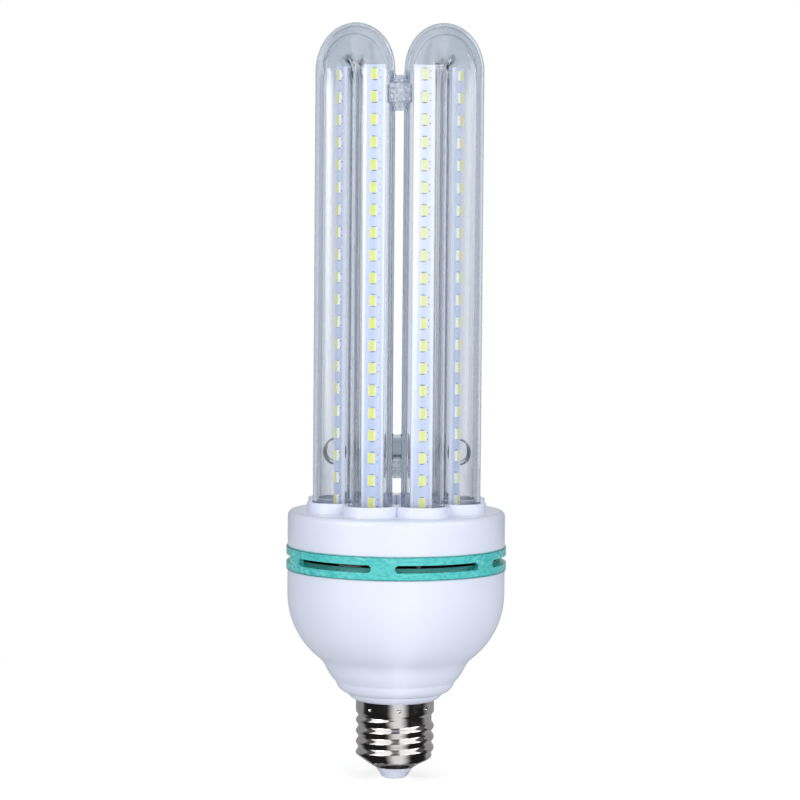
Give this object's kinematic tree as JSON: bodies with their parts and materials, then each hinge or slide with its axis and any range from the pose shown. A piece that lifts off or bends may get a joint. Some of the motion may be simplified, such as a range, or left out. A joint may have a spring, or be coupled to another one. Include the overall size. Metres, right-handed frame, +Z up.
{
  "type": "corn led bulb",
  "caption": "Screw-cap lamp with four clear U-bent glass tubes, a strip of light chips standing in each leg, on a white moulded base with a coloured vent ring.",
  "frame": {"origin": "centre of the lamp at the underside of the centre contact", "axes": "+Z up along the lamp axis from the cap to the tube bends, -Y the side that faces the viewer, between two tubes"},
  "size_m": [0.0732, 0.0732, 0.2501],
  "materials": {
    "clear_glass": "clear, polished",
    "clear_glue": "clear, crazed",
    "strip_board": "white, satin",
    "chip_housing": "white, satin",
    "phosphor": "yellow, matt",
    "white_plastic": "white, glossy",
    "green_plastic": "turquoise, glossy",
    "nickel_shell": "nickel plated",
    "cap_insulator": "pale, glossy",
    "contact_metal": "tinned",
    "driver_board": "bare laminate",
    "capacitor_sleeve": "black sleeve",
    "capacitor_can": "pale can",
    "ferrite": "dark, matt",
    "copper_wire": "enamelled copper",
    "film_coating": "dipped coating",
    "black_epoxy": "moulded, matt",
    "fuse_body": "lacquered",
    "lead_insulation": "white sleeve",
    "tinned_wire": "tinned"
  },
  "bodies": {
    "root": {"u_tube_front_left": "clear_glass", "u_tube_front_right": "clear_glass", "u_tube_back_left": "clear_glass", "u_tube_back_right": "clear_glass", "glass_bridge_left": "clear_glass", "glass_bridge_back": "clear_glass", "glass_bridge_right": "clear_glass", "top_glue_bead": "clear_glue", "back_glue_bead": "clear_glue", "led_board_1": "strip_board", "led_housings_1": "chip_housing", "led_phosphor_1": "phosphor", "led_board_2": "strip_board", "led_housings_2": "chip_housing", "led_phosphor_2": "phosphor", "led_board_3": "strip_board", "led_housings_3": "chip_housing", "led_phosphor_3": "phosphor", "led_board_4": "strip_board", "led_housings_4": "chip_housing", "led_phosphor_4": "phosphor", "led_board_5": "strip_board", "led_housings_5": "chip_housing", "led_phosphor_5": "phosphor", "led_board_6": "strip_board", "led_housings_6": "chip_housing", "led_phosphor_6": "phosphor", "led_board_7": "strip_board", "led_housings_7": "chip_housing", "led_phosphor_7": "phosphor", "led_board_8": "strip_board", "led_housings_8": "chip_housing", "led_phosphor_8": "phosphor", "top_cover": "white_plastic", "bowl_housing": "white_plastic", "vent_ring": "green_plastic", "screw_shell": "nickel_shell", "cap_insulator": "cap_insulator", "centre_contact": "contact_metal", "driver_board": "driver_board", "input_capacitor": "capacitor_sleeve", "output_capacitor": "capacitor_can", "choke_core": "ferrite", "choke_winding": "copper_wire", "film_capacitor": "film_coating", "rectifier": "black_epoxy", "driver_chip": "black_epoxy", "fuse_resistor": "fuse_body", "live_lead": "lead_insulation", "neutral_lead": "lead_insulation", "strip_lead_left": "lead_insulation", "strip_lead_right": "lead_insulation", "strip_jumpers": "tinned_wire"}
  },
  "joints": []
}
